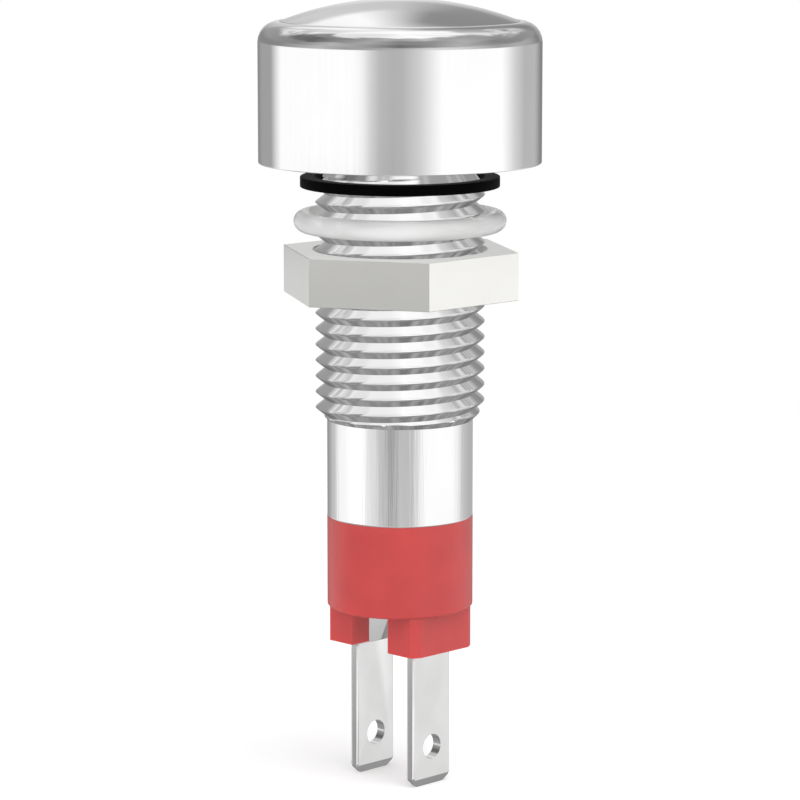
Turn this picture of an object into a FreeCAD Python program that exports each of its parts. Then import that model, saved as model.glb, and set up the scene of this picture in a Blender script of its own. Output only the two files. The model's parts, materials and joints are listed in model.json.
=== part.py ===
"""Panel pilot light for an 8 mm hole: domed lens, turned housing, rings, nut, lamp and two blade terminals.

Lengths are in millimetres and angles in degrees. The origin is on the light's axis, in the plane of the
head's underside, which seats on the panel. +Z points out of the panel, through the lens. The terminals
stand side by side along X, and their width is along Y.
"""

import FreeCAD, Part
import math
import operator
import os

import Sketcher
from FreeCAD import Placement, Rotation, Vector

STEP_FOLDER = "parts"
SHEET_NAME = "Sizes"
Z_AXIS = Vector(0, 0, 1)
FULL_TURN = 360
HEX_CORNER_TO_FLAT = 2 / math.sqrt(3)

SIZES = [
    ("head_diameter", 13.3, "outside of the head"),
    ("head_height", 6.5, "head's underside to the lip round the lens"),
    ("shoulder_radius", 0.7, "rounded shoulder of the head"),
    ("rim_bevel", 0.15, "broken lower edge of the head"),
    ("bezel_width", 0.72, "wall round the lens"),
    ("head_floor", 1.0, "thickness of the head under the reflector"),
    ("thread_diameter", 8.0, "crests of the mounting thread"),
    ("thread_length", 12.16, "head's underside to the plain barrel"),
    ("barrel_diameter", 6.92, "plain barrel below the thread"),
    ("barrel_length", 4.64, "plain barrel, from the thread to the base"),
    ("bore_diameter", 6.0, "bore through the shank"),
    ("recess_depth", 0.35, "recess for the gasket in the head's underside"),
    ("recess_gap", 0.15, "radial room round the gasket in its recess"),
    ("lens_rise", 1.15, "top of the dome above the lip"),
    ("lens_wall", 1.2, "thickness of the lens at its centre"),
    ("lens_skirt", 1.0, "width of the ring under the lens"),
    ("lens_skirt_top", 1.6, "width of the ring under the lens, where it joins the lens"),
    ("fit_gap", 0.03, "radial gap of a piece that is pressed or glued in"),
    ("running_gap", 0.05, "radial gap of a piece that slides or turns"),
    ("seal_thickness", 0.3, "flat seal under the lens"),
    ("seal_depth", 1.45, "lip round the lens to the underside of the seal"),
    ("seal_width", 0.95, "ring width of the seal"),
    ("ledge_width", 0.68, "step under the seal, out to the lens's seat"),
    ("reflector_wall", 0.35, "width of the reflector's rim"),
    ("reflector_foot", 0.8, "width of the reflector's foot ring"),
    ("reflector_step", 0.45, "straight wall at the reflector's mouth"),
    ("lamp_diameter", 5.0, "lamp body"),
    ("lamp_gap", 0.15, "radial gap from the lamp to the reflector"),
    ("lamp_flange_diameter", 5.8, "flange at the lamp's foot"),
    ("lamp_flange_height", 1.0, "height of the lamp's flange"),
    ("lamp_height", 8.6, "whole height of the lamp"),
    ("lamp_foot_depth", 4.6, "head's underside to the lamp's foot"),
    ("lead_pitch", 2.54, "between the lamp's two leads"),
    ("lead_thickness", 0.5, "square section of the lamp's leads"),
    ("lead_bend", 0.8, "height over which a lamp lead bends to the board"),
    ("lead_foot", 1.8, "straight run of a lamp lead on the board"),
    ("spacer_height", 2.0, "disc between the lamp and the board"),
    ("board_thickness", 0.8, "circuit board"),
    ("board_width", 5.0, "circuit board"),
    ("resistor_diameter", 1.6, "ends of the resistor"),
    ("resistor_waist", 1.3, "middle of the resistor"),
    ("resistor_length", 3.4, "resistor without its leads"),
    ("resistor_end", 0.7, "length of each thick end of the resistor"),
    ("diode_diameter", 1.5, "diode"),
    ("diode_length", 3.0, "diode without its leads"),
    ("diode_edge", 0.3, "bevel at the ends of the diode"),
    ("lead_clearance", 1.2, "end of a lamp lead to the top of the resistor's or the diode's lead"),
    ("component_gap", 0.05, "resistor or diode to the board"),
    ("wire_thickness", 0.45, "leads of the resistor and the diode"),
    ("wire_reach", 0.35, "straight run of a lead before it turns to the board"),
    ("solder_height", 0.5, "each solder joint, along the board"),
    ("solder_width", 0.6, "each solder joint, across the board"),
    ("sleeve_wall", 0.2, "insulating sleeve"),
    ("base_diameter", 6.94, "round part of the terminal base"),
    ("base_height", 4.4, "round part of the terminal base"),
    ("base_edge", 0.1, "bevel at the foot of the round part"),
    ("spigot_height", 2.0, "spigot of the base, inside the barrel"),
    ("spigot_bore", 5.1, "bore of the spigot"),
    ("spigot_bore_depth", 0.5, "spigot's bore, below the barrel's end"),
    ("board_seat_height", 0.6, "slot's roof to the board's lower edge"),
    ("block_length", 6.0, "over both blocks of the base, along X"),
    ("block_width", 4.06, "blocks of the base, along Y"),
    ("block_height", 1.89, "blocks, below the round part"),
    ("block_round", 3.4, "radius of the rounded corners about the axis"),
    ("slot_width", 2.4, "slot between the two blocks"),
    ("niche_width", 1.78, "niche for a terminal's neck, along Y"),
    ("blade_spacing", 3.8, "between the middles of the two blades"),
    ("blade_width", 2.5, "terminal blade"),
    ("blade_thickness", 0.5, "terminal blade"),
    ("blade_length", 6.4, "shoulder of the blade to its tip"),
    ("blade_gap", 0.2, "underside of the block to the blade's shoulder"),
    ("blade_corner", 0.38, "cut corners at the tip"),
    ("blade_bevel_height", 0.42, "bevelled faces at the tip"),
    ("blade_bevel_depth", 0.15, "bevelled faces at the tip"),
    ("blade_hole_diameter", 1.2, "hole in the blade"),
    ("blade_hole_height", 1.87, "tip of the blade to the middle of its hole"),
    ("neck_width", 0.75, "terminal's neck and tail"),
    ("neck_root", 0.5, "neck's root, inside the blade"),
    ("neck_straight", 0.69, "shoulder of the blade to where the neck's outer side leans in"),
    ("neck_knee", 0.26, "shoulder of the blade to the knee of the neck's inner side"),
    ("neck_reach", 0.73, "face of the blade to the knee of the neck's inner side"),
    ("neck_lean", 1.18, "knee of the neck's inner side to where it stands upright"),
    ("neck_entry", 0.9, "slot's roof to the end of the neck's slant"),
    ("tail_length", 2.7, "tail on the board, above the slant"),
    ("gasket_diameter", 9.4, "flat gasket under the head"),
    ("gasket_thickness", 0.49, "flat gasket under the head"),
    ("gasket_depth", 0.64, "head's underside to the gasket"),
    ("gasket_edge", 0.08, "softened edges of the gasket"),
    ("ring_section", 0.96, "cord of the sealing ring"),
    ("ring_depth", 2.74, "head's underside to the middle of the sealing ring"),
    ("nut_wall", 0.95, "bore of the nut to the middle of a flat"),
    ("nut_height", 2.25, "hexagonal nut"),
    ("nut_depth", 4.08, "head's underside to the nut"),
    ("nut_countersink", 0.3, "bevel at both ends of the nut's thread"),
    ("nut_angle", 28.4, "a corner of the nut, from X"),
]

RING_FLATS = 12

OPERATIONS = {"+": operator.add, "-": operator.sub, "*": operator.mul, "/": operator.truediv}


class Length:
    """A value worked out from the sheet, with the formula that keeps it bound to the sheet."""

    def __init__(self, value, formula):
        self.value = float(value)
        self.formula = formula

    def __add__(self, other):
        return combine(self, "+", other)

    def __sub__(self, other):
        return combine(self, "-", other)

    def __mul__(self, other):
        return combine(self, "*", other)

    def __rmul__(self, other):
        return combine(other, "*", self)

    def __truediv__(self, other):
        return combine(self, "/", other)

    def __neg__(self):
        return combine(-1, "*", self)

    def root(self):
        return Length(math.sqrt(self.value), f"sqrt({self.formula})")


def as_length(value):
    if isinstance(value, Length):
        return value
    return Length(value, f"({value!r})")


def combine(first, sign, second):
    a = as_length(first)
    b = as_length(second)
    return Length(OPERATIONS[sign](a.value, b.value), f"({a.formula} {sign} {b.formula})")


def leg(hypotenuse, other_leg):
    """The third side of a right-angled triangle."""
    return (hypotenuse * hypotenuse - other_leg * other_leg).root()


class SheetSizes:
    """The sheet's cells by name: size.head_diameter is the length in the cell of that name."""

    def __init__(self, sheet):
        self.sheet = sheet

    def __getattr__(self, alias):
        return Length(self.sheet.get(alias), f"{SHEET_NAME}.{alias}")


doc = FreeCAD.newDocument("panel_pilot_light")
nodes = []


def write_sheet():
    sheet = doc.addObject("Spreadsheet::Sheet", SHEET_NAME)
    for row, (alias, value, meaning) in enumerate(SIZES, start=1):
        sheet.set(f"A{row}", alias.replace("_", " "))
        sheet.set(f"B{row}", str(value))
        sheet.setAlias(f"B{row}", alias)
        sheet.set(f"C{row}", meaning)
    doc.recompute()
    return SheetSizes(sheet)


size = write_sheet()


def bind(thing, name, length):
    """Bind a property of an object to the sheet."""
    thing.setExpression(name, as_length(length).formula)


def new_body(label):
    """An empty body, which becomes the node of that name."""
    body = doc.addObject("PartDesign::Body", label)
    body.Label = label
    body.AllowCompound = True
    nodes.append(body)
    return body


def new_sketch(body, plane, offset=0):
    """A sketch on one of the body's own planes, moved along the plane's normal."""
    origin_plane = next(f for f in body.Origin.OriginFeatures if f.Role == plane)
    sketch = body.newObject("Sketcher::SketchObject", body.Label + "_sketch")
    sketch.AttachmentSupport = (origin_plane, [""])
    sketch.MapMode = "FlatFace"
    bind(sketch, "AttachmentOffset.Base.z", offset)
    return sketch


def bound_constraint(sketch, kind, places, length):
    index = sketch.addConstraint(Sketcher.Constraint(kind, *places, length.value))
    sketch.setExpression(f"Constraints[{index}]", length.formula)


def place_point(sketch, edge, end, point):
    """Hold one end of an edge at its two coordinates."""
    if abs(point[0].value) < 1e-9:
        sketch.addConstraint(Sketcher.Constraint("PointOnObject", edge, end, -2))
    else:
        bound_constraint(sketch, "DistanceX", (-1, 1, edge, end), point[0])
    bound_constraint(sketch, "DistanceY", (-1, 1, edge, end), point[1])


def arc_between(start, end, radius):
    """The short arc from start to end that bulges to the left, or to the right if the radius is negative."""
    chord = end - start
    left = Vector(-chord.y, chord.x, 0).normalize()
    side = math.copysign(1, radius)
    drop = math.sqrt(max(radius * radius - chord.Length ** 2 / 4, 0))
    centre = (start + end) / 2 - left * side * drop
    ends = [end, start] if side > 0 else [start, end]
    angles = [math.atan2(p.y - centre.y, p.x - centre.x) for p in ends]
    return Part.ArcOfCircle(Part.Circle(centre, Z_AXIS, abs(radius)), *angles)


def add_outline(sketch, corners):
    """A closed outline through the corners.

    A corner is (across, up), or (across, up, radius) where an arc leads to it. The arc bulges to the left
    of the way, or to the right if the radius has a minus sign.
    """
    points = [(as_length(c[0]), as_length(c[1])) for c in corners]
    places = [Vector(p[0].value, p[1].value, 0) for p in points]
    edges = []
    for number, corner in enumerate(corners):
        start, end = places[number - 1], places[number]
        if len(corner) == 2:
            edges.append((sketch.addGeometry(Part.LineSegment(start, end)), 1, 2))
            continue
        radius = corner[2]
        edge = sketch.addGeometry(arc_between(start, end, radius.value))
        bulges_left = radius.value > 0
        edges.append((edge, 2, 1) if bulges_left else (edge, 1, 2))
        bound_constraint(sketch, "Radius", (edge,), radius if bulges_left else -radius)
    for number, (edge, first_end, last_end) in enumerate(edges):
        before, _, before_end = edges[number - 1]
        sketch.addConstraint(Sketcher.Constraint("Coincident", before, before_end, edge, first_end))
        place_point(sketch, edge, last_end, points[number])


def add_circle(sketch, across, up, radius):
    across, up, radius = as_length(across), as_length(up), as_length(radius)
    centre = Vector(across.value, up.value, 0)
    circle = sketch.addGeometry(Part.Circle(centre, Z_AXIS, radius.value))
    bound_constraint(sketch, "Radius", (circle,), radius)
    place_point(sketch, circle, 3, (across, up))


def turned(label, corners):
    """A piece turned about Z from its half section: radius across, height up."""
    body = new_body(label)
    sketch = new_sketch(body, "XZ_Plane")
    add_outline(sketch, corners)
    turn_about_axis(body, sketch, "PartDesign::Revolution")
    return body


def turn_about_axis(body, sketch, kind):
    turn = body.newObject(kind, body.Label + "_turn")
    turn.Profile = sketch
    turn.ReferenceAxis = (sketch, ["V_Axis"])
    turn.Angle = FULL_TURN
    sketch.Visibility = False


def pad(body, sketch, length, symmetric=False):
    feature = body.newObject("PartDesign::Pad", body.Label + "_pad")
    feature.Profile = sketch
    feature.SideType = "Symmetric" if symmetric else "One side"
    bind(feature, "Length", length)
    return feature


def pocket_up(body, sketch, length):
    """Cut from a sketch on the XY plane upwards."""
    feature = body.newObject("PartDesign::Pocket", body.Label + "_pocket")
    feature.Profile = sketch
    feature.Reversed = True
    bind(feature, "Length", length)
    return feature


def pocket_both_ways(body, sketch, length):
    feature = body.newObject("PartDesign::Pocket", body.Label + "_pocket")
    feature.Profile = sketch
    feature.SideType = "Symmetric"
    bind(feature, "Length", length)
    return feature


def strips(label, outlines, width):
    """Flat pieces cut to outlines in the XZ plane, with their width along Y."""
    body = new_body(label)
    sketch = new_sketch(body, "XZ_Plane")
    for corners in outlines:
        add_outline(sketch, corners)
    pad(body, sketch, width, symmetric=True)
    return body


def rectangle(left, low, right, high):
    return [(left, low), (right, low), (right, high), (left, high)]


head_radius = size.head_diameter / 2
thread_radius = size.thread_diameter / 2
barrel_radius = size.barrel_diameter / 2
bore_radius = size.bore_diameter / 2
gasket_radius = size.gasket_diameter / 2
lens_seat_radius = head_radius - size.bezel_width
lens_radius = lens_seat_radius - size.fit_gap
cavity_radius = lens_seat_radius - size.ledge_width
lamp_radius = size.lamp_diameter / 2
half_board = size.board_thickness / 2
ring_inner_radius = thread_radius + size.running_gap

seal_bottom = size.head_height - size.seal_depth - size.seal_thickness
seal_top = seal_bottom + size.seal_thickness
barrel_top = -size.thread_length
barrel_bottom = barrel_top - size.barrel_length
thread_bottom = barrel_top + thread_radius - barrel_radius
lamp_foot = -size.lamp_foot_depth
spacer_bottom = lamp_foot - size.spacer_height
lamp_lead_end = spacer_bottom - size.lead_bend - size.lead_foot
spigot_top = barrel_bottom + size.spigot_height
slot_roof = barrel_bottom - size.base_height
block_bottom = slot_roof - size.block_height
board_bottom = slot_roof + size.board_seat_height
blade_top = block_bottom - size.blade_gap
blade_tip = blade_top - size.blade_length
neck_top = slot_roof + size.neck_entry
tail_top = neck_top + size.tail_length
blade_middle = size.blade_spacing / 2
tail_middle = half_board + size.blade_thickness / 2


def make_housing():
    """Head, threaded shank and barrel, turned from one bar. The shank's cylinder is the thread's crests."""
    recess_radius = gasket_radius + size.recess_gap
    shoulder = size.shoulder_radius
    rim = size.rim_bevel
    turned("housing", [
        (bore_radius, barrel_bottom),
        (barrel_radius, barrel_bottom),
        (barrel_radius, barrel_top),
        (thread_radius, thread_bottom),
        (thread_radius, size.recess_depth),
        (recess_radius, size.recess_depth),
        (recess_radius, 0),
        (head_radius - rim, 0),
        (head_radius, rim),
        (head_radius, size.head_height - shoulder),
        (head_radius - shoulder, size.head_height, -shoulder),
        (lens_seat_radius, size.head_height),
        (lens_seat_radius, seal_bottom),
        (cavity_radius, seal_bottom),
        (cavity_radius, size.head_floor),
        (bore_radius, size.head_floor),
    ])


def make_domed_lens():
    """Lens with a shallow dome, on a short ring that stands on the seal."""
    rise = size.lens_rise
    dome_radius = (lens_radius * lens_radius + rise * rise) / (rise * 2)
    dome_top = size.head_height + rise
    hollow_top = dome_top - size.lens_wall
    turned("domed_lens", [
        (0, hollow_top),
        (lens_radius - size.lens_skirt_top, hollow_top),
        (lens_radius - size.lens_skirt, seal_top),
        (lens_radius, seal_top),
        (lens_radius, size.head_height),
        (0, dome_top, -dome_radius),
    ])


def make_lens_seal():
    inner_radius = lens_radius - size.seal_width
    turned("lens_seal", rectangle(inner_radius, seal_bottom, lens_radius, seal_top))


def make_reflector():
    """Polished cone round the lamp, held down by the seal."""
    hole_radius = lamp_radius + size.lamp_gap
    mouth_radius = cavity_radius - size.running_gap
    bowl_radius = mouth_radius - size.reflector_wall
    foot_radius = hole_radius + size.reflector_foot
    bowl_bottom = size.head_floor + size.reflector_wall
    turned("reflector", [
        (hole_radius, size.head_floor),
        (foot_radius, size.head_floor),
        (mouth_radius, seal_bottom - size.reflector_step),
        (mouth_radius, seal_bottom),
        (bowl_radius, seal_bottom),
        (hole_radius, bowl_bottom),
    ])


def make_lamp():
    """Round-nosed lamp with a flange, flat on the side of its negative lead."""
    flange_radius = size.lamp_flange_diameter / 2
    flange_top = lamp_foot + size.lamp_flange_height
    nose_top = lamp_foot + size.lamp_height
    body = turned("led_body", [
        (0, lamp_foot),
        (flange_radius, lamp_foot),
        (flange_radius, flange_top),
        (lamp_radius, flange_top),
        (lamp_radius, nose_top - lamp_radius),
        (0, nose_top, -lamp_radius),
    ])
    flat = new_sketch(body, "XY_Plane", lamp_foot)
    add_outline(flat, rectangle(-flange_radius, -flange_radius, -lamp_radius, flange_radius))
    pocket_up(body, flat, size.lamp_flange_height)


def make_lamp_lead(label, side):
    """Square lead that leaves the lamp, passes the spacer and bends in to one face of the board."""
    half = size.lead_thickness / 2
    top_middle = size.lead_pitch / 2
    foot_middle = half_board + half
    bend_bottom = spacer_bottom - size.lead_bend
    strips(label, [[
        (side * (top_middle - half), lamp_foot),
        (side * (top_middle - half), spacer_bottom),
        (side * (foot_middle - half), bend_bottom),
        (side * (foot_middle - half), lamp_lead_end),
        (side * (foot_middle + half), lamp_lead_end),
        (side * (foot_middle + half), bend_bottom),
        (side * (top_middle + half), spacer_bottom),
        (side * (top_middle + half), lamp_foot),
    ]], size.lead_thickness)


def make_led_collar():
    """Collar that centres the lamp in the bore, between its flange and the reflector."""
    collar_bottom = lamp_foot + size.lamp_flange_height
    collar_radius = bore_radius - size.fit_gap
    turned("led_collar", rectangle(lamp_radius + size.fit_gap, collar_bottom, collar_radius, size.head_floor))


def make_led_spacer():
    """Disc with a hole for each lead."""
    spacer_radius = bore_radius - size.fit_gap
    body = turned("led_spacer", rectangle(0, spacer_bottom, spacer_radius, lamp_foot))
    holes = new_sketch(body, "XY_Plane", spacer_bottom)
    half_hole = size.lead_thickness / 2 + size.fit_gap
    for side in (-1, 1):
        middle = side * size.lead_pitch / 2
        add_outline(holes, rectangle(middle - half_hole, -half_hole, middle + half_hole, half_hole))
    pocket_up(body, holes, size.spacer_height)


def make_circuit_board():
    outline = rectangle(-half_board, board_bottom, half_board, spacer_bottom)
    strips("circuit_board", [outline], size.board_width)


def component_middle(diameter):
    """How far from the axis a resistor or diode of this diameter lies on the board."""
    return half_board + size.component_gap + diameter / 2


def component_height(length):
    """Height of the middle of a resistor or diode of this length, whose leads stay clear of the lamp's."""
    return lamp_lead_end - size.lead_clearance - size.wire_thickness - size.wire_reach - length / 2


def make_series_resistor():
    end_radius = size.resistor_diameter / 2
    waist_radius = size.resistor_waist / 2
    half_length = size.resistor_length / 2
    waist_half = half_length - size.resistor_end
    body = turned("series_resistor", [
        (0, -half_length),
        (end_radius, -half_length),
        (end_radius, -waist_half),
        (waist_radius, -waist_half),
        (waist_radius, waist_half),
        (end_radius, waist_half),
        (end_radius, half_length),
        (0, half_length),
    ])
    bind(body, "Placement.Base.x", component_middle(size.resistor_diameter))
    bind(body, "Placement.Base.z", component_height(size.resistor_length))


def make_protection_diode():
    radius = size.diode_diameter / 2
    half_length = size.diode_length / 2
    edge = size.diode_edge
    body = turned("protection_diode", [
        (0, -half_length),
        (radius - edge, -half_length),
        (radius, edge - half_length),
        (radius, half_length - edge),
        (radius - edge, half_length),
        (0, half_length),
    ])
    bind(body, "Placement.Base.x", -component_middle(size.diode_diameter))
    bind(body, "Placement.Base.z", component_height(size.diode_length))


def wire_outline(side, end, middle, length):
    """Lead from one end of a component, bent square to the board's face."""
    half_wire = size.wire_thickness / 2
    start = component_height(length) + end * length / 2
    turn = start + end * size.wire_reach
    far = turn + end * size.wire_thickness
    return [
        (side * (middle + half_wire), start),
        (side * (middle + half_wire), far),
        (side * half_board, far),
        (side * half_board, turn),
        (side * (middle - half_wire), turn),
        (side * (middle - half_wire), start),
    ]


def make_component_leads(label, side, diameter, length):
    middle = component_middle(diameter)
    outlines = [wire_outline(side, end, middle, length) for end in (-1, 1)]
    strips(label, outlines, size.wire_thickness)


def solder_outline(side, foot, rise):
    """Wedge of solder on the board's face, against the end of a lead."""
    tip = half_board + size.lead_thickness
    top = foot + rise * size.solder_height
    return [(side * half_board, foot), (side * tip, foot), (side * half_board, top)]


def make_solder_joints():
    """Solder at the ends of the lamp's leads, the components' leads and the terminals' tails."""
    outlines = [solder_outline(side, lamp_lead_end, -1) for side in (-1, 1)]
    outlines += [solder_outline(side, tail_top, 1) for side in (-1, 1)]
    for side, length in ((1, size.resistor_length), (-1, size.diode_length)):
        half_reach = length / 2 + size.wire_reach + size.wire_thickness
        outlines += [
            solder_outline(side, component_height(length) + end * half_reach, end) for end in (-1, 1)
        ]
    strips("solder_joints", outlines, size.solder_width)


def make_insulating_sleeve():
    sleeve_radius = bore_radius - size.fit_gap
    inner_radius = sleeve_radius - size.sleeve_wall
    turned("insulating_sleeve", rectangle(inner_radius, spigot_top, sleeve_radius, spacer_bottom))


def block_outline(side):
    """One block of the base, seen along Z: rounded outer corners, and a niche that opens to the slot."""
    far = size.block_length / 2
    half_width = size.block_width / 2
    rounding = size.block_round
    corner_up = leg(rounding, far)
    corner_across = leg(rounding, half_width)
    half_slot = size.slot_width / 2
    half_niche = size.niche_width / 2
    niche_end = blade_middle + size.blade_thickness / 2 + size.running_gap
    return [
        (side * half_slot, -half_width),
        (side * corner_across, -half_width),
        (side * far, -corner_up, -side * rounding),
        (side * far, corner_up),
        (side * corner_across, half_width, -side * rounding),
        (side * half_slot, half_width),
        (side * half_slot, half_niche),
        (side * niche_end, half_niche),
        (side * niche_end, -half_niche),
        (side * half_slot, -half_niche),
    ]


def make_terminal_base():
    """Moulded base: a spigot in the barrel, a round part, and two blocks with the slot between them."""
    base_radius = size.base_diameter / 2
    spigot_radius = bore_radius - size.fit_gap
    spigot_bore_radius = size.spigot_bore / 2
    bore_floor = barrel_bottom - size.spigot_bore_depth
    edge = size.base_edge
    body = turned("terminal_base", [
        (0, slot_roof),
        (base_radius - edge, slot_roof),
        (base_radius, slot_roof + edge),
        (base_radius, barrel_bottom),
        (spigot_radius, barrel_bottom),
        (spigot_radius, spigot_top),
        (spigot_bore_radius, spigot_top),
        (spigot_bore_radius, bore_floor),
        (0, bore_floor),
    ])
    blocks = new_sketch(body, "XY_Plane", block_bottom)
    for side in (-1, 1):
        add_outline(blocks, block_outline(side))
    pad(body, blocks, size.block_height)
    board_seat = new_sketch(body, "XY_Plane", board_bottom)
    seat_across = half_board + size.fit_gap
    seat_up = size.board_width / 2 + size.fit_gap
    add_outline(board_seat, rectangle(-seat_across, -seat_up, seat_across, seat_up))
    pocket_up(body, board_seat, bore_floor - board_bottom)
    cut_neck_channel(body, bore_floor)


def cut_neck_channel(body, top):
    """Channel through which both necks come in from the slot and lie along the board."""
    gap = size.running_gap
    tail_side = tail_middle + size.blade_thickness / 2 + gap
    slant_run = blade_middle - tail_middle
    slant_rise = neck_top - blade_top - size.neck_straight
    roof_side = tail_side + slant_run * size.neck_entry / slant_rise
    channel = new_sketch(body, "XZ_Plane")
    add_outline(channel, [
        (-roof_side, slot_roof),
        (roof_side, slot_roof),
        (tail_side, neck_top),
        (tail_side, top),
        (-tail_side, top),
        (-tail_side, neck_top),
    ])
    pocket_both_ways(body, channel, size.neck_width + gap * 2)


def make_terminal(label, side):
    """Flat blade with a hole, whose neck is deep along X, leans in to the board and ends in a tail along it."""
    half = size.blade_thickness / 2
    knee = blade_top + size.neck_knee
    body = strips(label, [[
        (side * (blade_middle - half), blade_top - size.neck_root),
        (side * (blade_middle + half), blade_top - size.neck_root),
        (side * (blade_middle + half), blade_top + size.neck_straight),
        (side * (tail_middle + half), neck_top),
        (side * (tail_middle + half), tail_top),
        (side * (tail_middle - half), tail_top),
        (side * (tail_middle - half), knee + size.neck_lean),
        (side * (blade_middle - half - size.neck_reach), knee),
        (side * (blade_middle - half), blade_top),
    ]], size.neck_width)
    blade = new_sketch(body, "YZ_Plane", side * blade_middle)
    half_width = size.blade_width / 2
    corner = size.blade_corner
    add_outline(blade, [
        (-half_width, blade_top),
        (-half_width, blade_tip + corner),
        (corner - half_width, blade_tip),
        (half_width - corner, blade_tip),
        (half_width, blade_tip + corner),
        (half_width, blade_top),
    ])
    add_circle(blade, 0, blade_tip + size.blade_hole_height, size.blade_hole_diameter / 2)
    pad(body, blade, size.blade_thickness, symmetric=True)
    bevel_tip(body, side * blade_middle, half)


def bevel_tip(body, middle, half):
    """Slant both faces of the blade towards its tip."""
    bevels = new_sketch(body, "XZ_Plane")
    bevel_top = blade_tip + size.blade_bevel_height
    for face in (-1, 1):
        surface = middle + face * half
        add_outline(bevels, [
            (surface, blade_tip),
            (surface, bevel_top),
            (surface - face * size.blade_bevel_depth, blade_tip),
        ])
    pocket_both_ways(body, bevels, size.blade_width)


def make_panel_gasket():
    """Flat ring with softened edges, pushed on to the thread."""
    top = -size.gasket_depth
    bottom = top - size.gasket_thickness
    edge = size.gasket_edge
    turned("panel_gasket", [
        (thread_radius + size.fit_gap, bottom),
        (gasket_radius - edge, bottom),
        (gasket_radius, bottom + edge),
        (gasket_radius, top - edge),
        (gasket_radius - edge, top),
        (thread_radius + size.fit_gap, top),
    ])


def make_sealing_ring():
    """Cord ring on the thread, its round section drawn with a few flats."""
    cord_radius = size.ring_section / 2
    cord_middle = ring_inner_radius + cord_radius
    corners = []
    for number in range(RING_FLATS):
        angle = 2 * math.pi * number / RING_FLATS
        across = cord_middle + cord_radius * math.cos(angle)
        corners.append((across, cord_radius * math.sin(angle) - size.ring_depth))
    turned("sealing_o_ring", corners)


def make_hex_nut():
    """Hexagonal nut, with the crests of its thread as a plain bore and a bevel at both ends."""
    body = new_body("hex_nut")
    half_width = ring_inner_radius + size.nut_wall
    corner = half_width * HEX_CORNER_TO_FLAT
    nut_bottom = -size.nut_depth - size.nut_height
    hexagon = new_sketch(body, "XY_Plane", nut_bottom)
    add_outline(hexagon, [
        (corner, 0),
        (corner / 2, half_width),
        (-corner / 2, half_width),
        (-corner, 0),
        (-corner / 2, -half_width),
        (corner / 2, -half_width),
    ])
    add_circle(hexagon, 0, 0, ring_inner_radius)
    pad(body, hexagon, size.nut_height)
    countersinks = new_sketch(body, "XZ_Plane")
    bevel = size.nut_countersink
    for end, direction in ((nut_bottom, 1), (-size.nut_depth, -1)):
        add_outline(countersinks, [
            (ring_inner_radius, end),
            (ring_inner_radius + bevel, end),
            (ring_inner_radius, end + direction * bevel),
        ])
    turn_about_axis(body, countersinks, "PartDesign::Groove")
    body.Placement = Placement(Vector(0, 0, 0), Rotation(Z_AXIS, size.nut_angle.value))
    bind(body, "Placement.Rotation.Angle", size.nut_angle)


def make_light():
    make_housing()
    make_domed_lens()
    make_lens_seal()
    make_reflector()
    make_lamp()
    make_lamp_lead("led_anode_lead", 1)
    make_lamp_lead("led_cathode_lead", -1)
    make_led_collar()
    make_led_spacer()
    make_circuit_board()
    make_series_resistor()
    make_component_leads("resistor_leads", 1, size.resistor_diameter, size.resistor_length)
    make_protection_diode()
    make_component_leads("diode_leads", -1, size.diode_diameter, size.diode_length)
    make_solder_joints()
    make_insulating_sleeve()
    make_terminal_base()
    make_terminal("terminal_positive", 1)
    make_terminal("terminal_negative", -1)
    make_panel_gasket()
    make_sealing_ring()
    make_hex_nut()


def check_document():
    """Stop if any object failed, or if a node's shape is missing or not valid."""
    for thing in doc.Objects:
        if "Invalid" in thing.State or "Error" in thing.State:
            raise RuntimeError(f"{thing.Label} failed: {thing.State}")
    for body in nodes:
        if body.Shape.isNull() or not body.Shape.isValid():
            raise RuntimeError(f"{body.Label} has no valid shape")


def write_steps():
    os.makedirs(STEP_FOLDER, exist_ok=True)
    for body in nodes:
        body.Shape.exportStep(os.path.join(STEP_FOLDER, body.Label + ".step"))


make_light()
doc.recompute()
check_document()
write_steps()
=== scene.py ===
"""Panel pilot light in a studio: chrome head with a domed lens, shank, rings, nut, base and blades.

Everything is in metres. The origin is on the light's axis, in the plane of the head's underside, and +Z
points through the lens. The terminals stand side by side along X.
"""

import json
import math

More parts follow.
